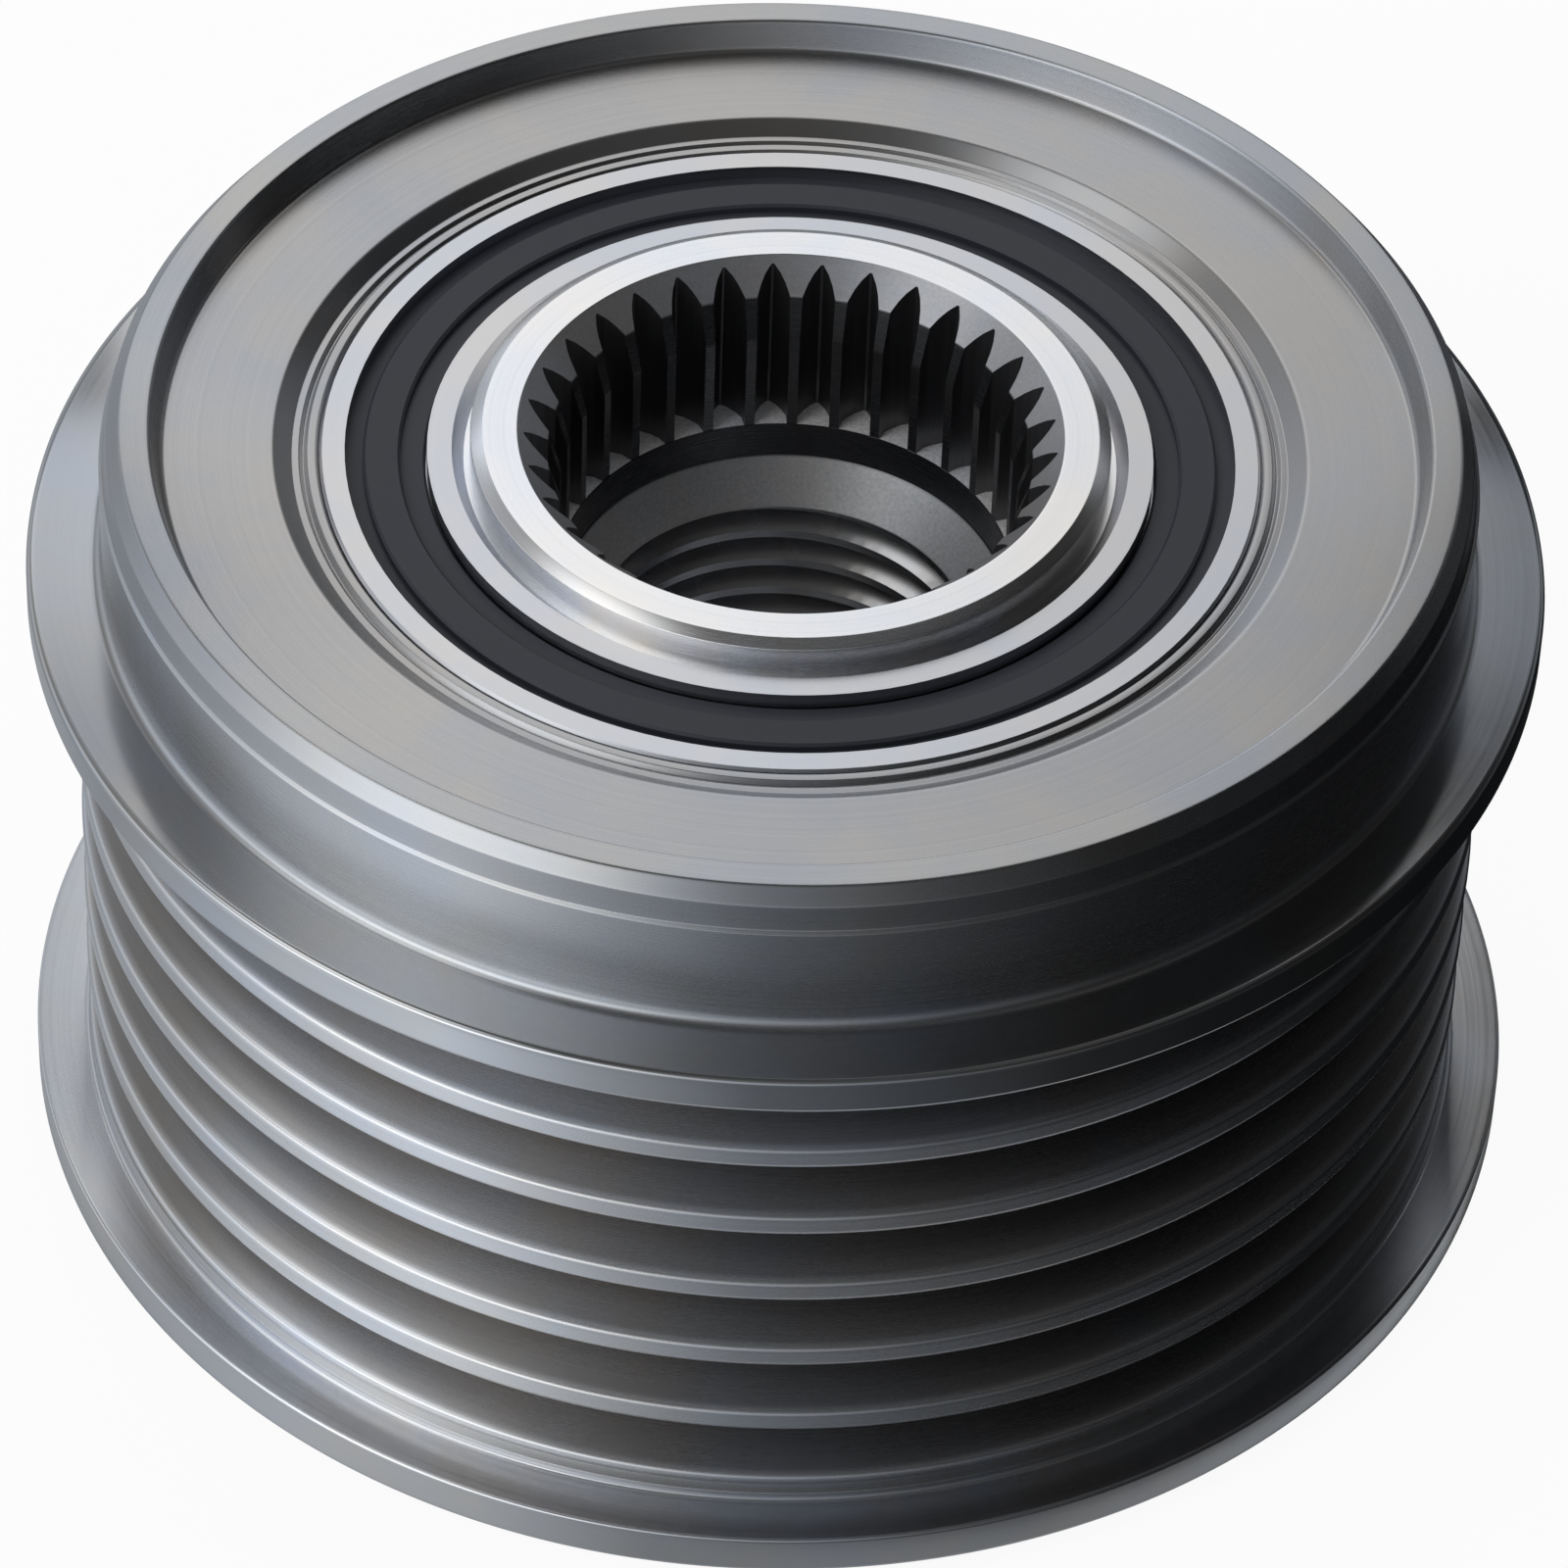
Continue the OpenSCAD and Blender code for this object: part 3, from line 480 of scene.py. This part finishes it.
hub_corners = [(9.0, 0.0, 0), (13.3, 0.0, 0.05), (13.6, 0.3, 0.05), (13.6, 4.8, 0), (12.5, 4.8, 0),
               (12.5, 31.614, 0), (12.25, 31.614, 0), (12.25, 32.814, 0.06), (11.79, 33.044, 0.06),
               (10.46, 33.044, 0.05), (9.3, 31.884, 0.10), (8.8, 30.1, 0.5), (8.8, 25.714, 0), (8.77, 25.714, 0),
               (8.68, 24.224, 0.05), (7.19, 22.764, 0.05), (7.19, 10.31, 0), (8.5, 9.0, 0), (8.5, 0.5, 0)]
hub = turned("hub_sleeve", rounded(hub_corners), 264)


def hub_zones(tree, radius, height):
    slope = maths(tree, "SUBTRACT", radius, height)
    sink = maths(tree, "MULTIPLY", between(tree, slope, -22.50, -22.58), between(tree, radius, 10.46, 10.42))
    sink = maths(tree, "MULTIPLY", sink, between(tree, height, 31.0, 31.4))
    ledge = maths(tree, "MULTIPLY", between(tree, height, 25.6, 25.65), between(tree, height, 25.78, 25.74))
    ledge = maths(tree, "MULTIPLY", ledge, between(tree, radius, 8.80, 8.84))
    lead_in = maths(tree, "MULTIPLY", between(tree, height, 22.7, 22.8), between(tree, height, 24.26, 24.2))
    lead_in = maths(tree, "MULTIPLY", lead_in, between(tree, radius, 8.67, 8.6))
    dull = maths(tree, "MULTIPLY_ADD", sink, 0.36, maths(tree, "MULTIPLY_ADD", lead_in, 0.6, ledge), clamp=True)
    # Painted shade in the socket: above the thread its walls are painted dark, far darker than the thread below.
    inside = mix_colour(tree, between(tree, radius, 7.9, 8.6), (0.58, 0.58, 0.59, 1), (0.20, 0.20, 0.205, 1))
    inside = mix_colour(tree, sink, inside, (0.40, 0.40, 0.41, 1))
    # Painted light: the ledge at the foot of the teeth is painted pale, as if lit down the socket.
    inside = mix_colour(tree, ledge, inside, (0.66, 0.66, 0.67, 1))
    inside = mix_colour(tree, lead_in, inside, (0.42, 0.42, 0.425, 1))
    face = between(tree, radius, 10.42, 10.48)
    return mix_colour(tree, face, inside, (0.93, 0.935, 0.95, 1)), dull, None


def broached_steel(name, colour, roughness):
    """Steel with the streaks that a broach leaves along the axis."""
    material = new_material(name)
    tree = material.node_tree
    place = add_node(tree, "ShaderNodeTexCoord").outputs["Object"]
    drawn = add_node(tree, "ShaderNodeMapping", {"Vector": place, "Scale": (9000, 9000, 150)}).outputs[0]
    streaks = add_node(tree, "ShaderNodeTexNoise", {"Vector": drawn, "Scale": 1.0, "Detail": 3.0}).outputs["Fac"]
    dark, pale = tuple(c * 0.7 for c in colour), tuple(c * 1.3 for c in colour)
    shaded = mix_colour(tree, streaks, (*dark, 1), (*pale, 1))
    gloss = maths(tree, "MULTIPLY_ADD", streaks, 0.16, roughness - 0.08)
    bump = add_node(tree, "ShaderNodeBump", {"Strength": 1.0, "Distance": 0.0004 * mm, "Height": streaks})
    shader = add_node(tree, "ShaderNodeBsdfPrincipled", {
        "Base Color": shaded, "Metallic": 1.0, "Roughness": gloss, "Normal": bump.outputs[0]})
    add_node(tree, "ShaderNodeOutputMaterial", {"Surface": shader.outputs[0]})
    return material


hub_steel = turned_steel("hub_steel", hub_zones, 0.26, 0.6, fineness=12.0, contrast=0.08)
# Painted shade: the flanks of the teeth, deep in the socket, are painted dark.
teeth_steel = broached_steel("broached_steel", (0.17, 0.17, 0.175), 0.42)
hub.data.materials.append(hub_steel)
hub.data.materials.append(teeth_steel)

teeth = 33
socket_z = 25.714
gap_side = [(8.5, 0.64), (9.27, 0.64), (9.64, 0.48), (9.93, 0.30), (10.2, 0.05)]
gap_outline = [(r, -half) for r, half in gap_side] + [(r, half) for r, half in reversed(gap_side)]
bpy.ops.object.select_all(action="DESELECT")
bpy.ops.mesh.primitive_circle_add(vertices=len(gap_outline), fill_type="NGON", location=(0, 0, 0))
broach = bpy.context.object
for vertex, (r, y) in zip(broach.data.vertices, gap_outline):
    vertex.co = Vector((r, y, socket_z)) * mm
bpy.ops.object.mode_set(mode="EDIT")
bpy.ops.mesh.select_all(action="SELECT")
bpy.ops.mesh.extrude_region_move(TRANSFORM_OT_translate={"value": (0, 0, 9 * mm)})
bpy.ops.mesh.select_all(action="SELECT")
bpy.ops.mesh.normals_make_consistent(inside=False)
bpy.ops.object.mode_set(mode="OBJECT")
broach.data.materials.append(hub_steel)
broach.data.materials.append(teeth_steel)
for face in broach.data.polygons:
    face.material_index = 0 if face.normal.z < -0.5 else 1
broaches = [broach]
for i in range(1, teeth):
    copy = broach.copy()
    copy.data = broach.data.copy()
    bpy.context.scene.collection.objects.link(copy)
    broaches.append(copy)
for i, copy in enumerate(broaches):
    copy.rotation_euler = (0, 0, math.radians(90 + (i + 0.5) * 360 / teeth))
bpy.ops.object.select_all(action="DESELECT")
for copy in broaches:
    copy.select_set(True)
bpy.context.view_layer.objects.active = broach
bpy.ops.object.join()
bpy.ops.object.transform_apply(location=True, rotation=True, scale=True)
cut(hub, broach)

# The thread's groove is a coil of tapered section, 1.5 mm to a turn, that runs out in the lead-in cone.
pitch = 1.5
bpy.ops.object.select_all(action="DESELECT")
bpy.ops.mesh.primitive_plane_add(size=1, location=(0, 0, 0), rotation=(math.pi / 2, 0, 0))
coil = bpy.context.object
bpy.ops.object.transform_apply(location=True, rotation=True, scale=True)
for vertex in coil.data.vertices:
    outer = vertex.co.x > 0
    side = 1 if vertex.co.z > 0 else -1
    vertex.co = Vector((8.0 if outer else 7.05, 0, side * (0.094 if outer else 0.65) + 9.7)) * mm
screw = coil.modifiers.new("coil", "SCREW")
screw.axis = "Z"
screw.angle = 2 * math.pi
screw.screw_offset = pitch * mm
screw.iterations = 9
screw.steps = 72
screw.render_steps = 72
bpy.ops.object.modifier_apply(modifier=screw.name)
bpy.ops.object.mode_set(mode="EDIT")
bpy.ops.mesh.select_all(action="DESELECT")
bpy.ops.mesh.select_non_manifold()
bpy.ops.mesh.edge_face_add()
bpy.ops.mesh.select_all(action="SELECT")
bpy.ops.mesh.remove_doubles(threshold=0.0005 * mm)
bpy.ops.mesh.normals_make_consistent(inside=False)
bpy.ops.object.mode_set(mode="OBJECT")
cut(hub, coil)
smooth(hub, 32)


in_place_of(hub, "hub", "hub")


# Bearing rings. Ground bearing steel, brighter and smoother than the turned ring round them.
def plain(colour):
    def zones_of(tree, radius, height):
        darker = tuple(c * 0.94 for c in colour)
        return mix_colour(tree, between(tree, radius, 0, 60), (*colour, 1), (*darker, 1)), None, None
    return zones_of


def dress(names, material):
    for name in names:
        node = nodes[name]
        node.data.materials.clear()
        node.data.materials.append(material)


dress(["front_bearing_outer_ring", "front_bearing_inner_ring"],
      turned_steel("bearing_steel", plain((0.62, 0.63, 0.66)), 0.22, 0.6, fineness=16.0, contrast=0.06))


# Balls, needles, clutch rollers and leaf springs. Polished steel.
dress(["front_bearing_balls", "clutch_rollers", "needle_rollers", "clutch_springs"],
      turned_steel("polished_steel", plain((0.75, 0.76, 0.78)), 0.14, 0.0, fineness=4.0, contrast=0.04))


# Clutch cup, clutch inner ring, washers and the sheet-steel seal case. Hardened steel, ground grey.
dress(["clutch_cup", "clutch_inner_ring", "divider_washer", "front_thrust_washer", "rear_thrust_washer",
       "rear_seal_case"], turned_steel("hardened_steel", plain((0.42, 0.42, 0.44)), 0.34, 0.5))


# Seals. Moulded black nitrile rubber with a fine grain; a slight blue painted into its colour stands in for the light
# of the tent.
def moulded(name, colour, roughness, grain_size, grain_depth, contrast):
    material = new_material(name)
    tree = material.node_tree
    place = add_node(tree, "ShaderNodeTexCoord").outputs["Object"]
    grain = add_node(tree, "ShaderNodeTexNoise", {"Vector": place, "Scale": 1000 / grain_size, "Detail": 3.0})
    cloud = add_node(tree, "ShaderNodeTexNoise", {"Vector": place, "Scale": 160.0, "Detail": 3.0, "Roughness": 0.6})
    shade = maths(tree, "MULTIPLY_ADD", cloud.outputs["Fac"], contrast, 1 - contrast * 0.5)
    shade = maths(tree, "MULTIPLY_ADD", grain.outputs["Fac"], contrast, maths(tree, "ADD", shade, -contrast * 0.5))
    base = mix_colour(tree, cloud.outputs["Fac"], (*(c * 0.9 for c in colour), 1), (*(c * 1.1 for c in colour), 1))
    shaded = add_node(tree, "ShaderNodeVectorMath", {0: base, 3: shade}, operation="SCALE").outputs[0]
    gloss = maths(tree, "MULTIPLY_ADD", cloud.outputs["Fac"], 0.16, roughness - 0.08)
    bump = add_node(tree, "ShaderNodeBump", {"Strength": 1.0, "Distance": grain_depth * mm,
                                             "Height": grain.outputs["Fac"]})
    shader = add_node(tree, "ShaderNodeBsdfPrincipled", {
        "Base Color": shaded, "Roughness": gloss, "Normal": bump.outputs[0]})
    add_node(tree, "ShaderNodeOutputMaterial", {"Surface": shader.outputs[0]})
    return material


dress(["front_bearing_front_seal", "front_bearing_rear_seal", "rear_seal_lip"],
      moulded("seal_rubber", (0.026, 0.028, 0.036), 0.48, 0.09, 0.004, 0.3))


# Cages. Injection-moulded nylon, natural in colour.
dress(["front_bearing_cage", "clutch_cage", "needle_cage"],
      moulded("cage_nylon", (0.55, 0.50, 0.36), 0.5, 0.2, 0.003, 0.1))
